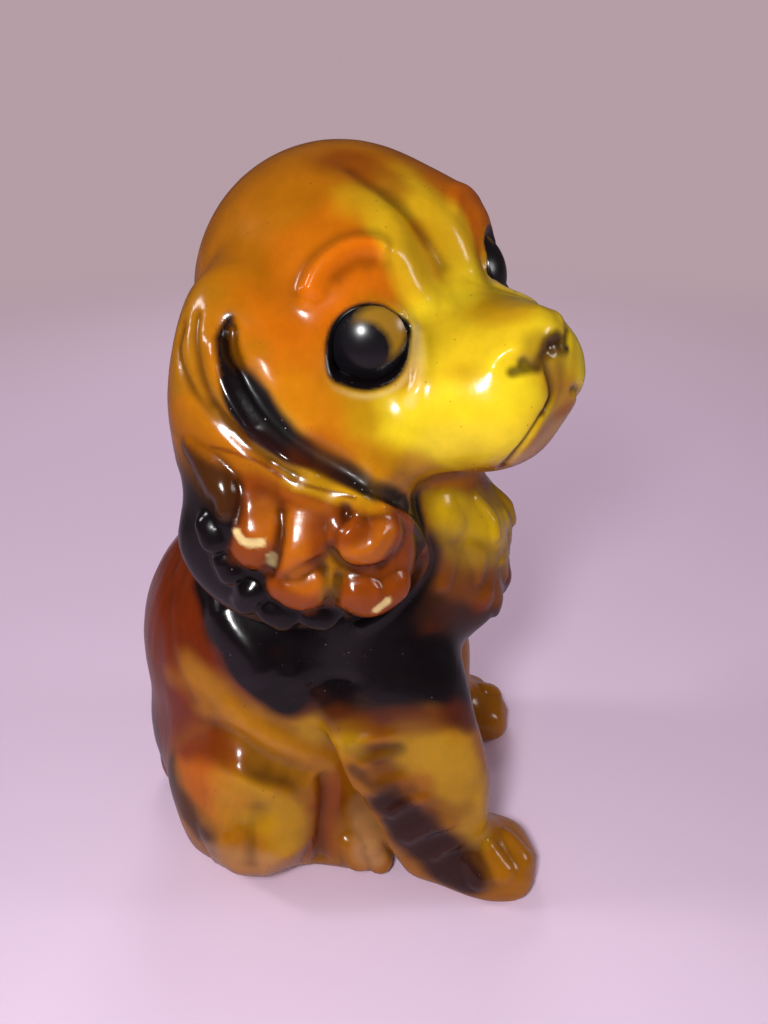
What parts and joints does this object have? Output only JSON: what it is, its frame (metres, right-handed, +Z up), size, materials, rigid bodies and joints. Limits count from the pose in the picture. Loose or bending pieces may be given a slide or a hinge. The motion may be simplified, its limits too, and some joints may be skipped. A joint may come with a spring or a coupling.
{
  "type": "seated puppy figurine",
  "caption": "Glazed ceramic ornament of a seated spaniel puppy with its head turned to one side and long curly ears.",
  "frame": {"origin": "on the resting face of the base, under the middle of the neck joint", "axes": "+Z up, -Y the way the puppy's body faces, +X to the puppy's own left"},
  "size_m": [0.0825, 0.0933, 0.1504],
  "materials": {
    "head_glaze": "gloss",
    "body_glaze": "gloss",
    "ear_glaze": "gloss",
    "leg_glaze": "gloss",
    "haunch_glaze": "gloss",
    "tail_glaze": "gloss",
    "eye_glaze": "gloss"
  },
  "bodies": {
    "root": {"head": "head_glaze", "body": "body_glaze", "right_ear": "ear_glaze", "left_ear": "ear_glaze", "right_foreleg": "leg_glaze", "left_foreleg": "leg_glaze", "right_hind_leg": "haunch_glaze", "left_hind_leg": "haunch_glaze", "tail": "tail_glaze", "right_eye": "eye_glaze", "left_eye": "eye_glaze"}
  },
  "joints": []
}
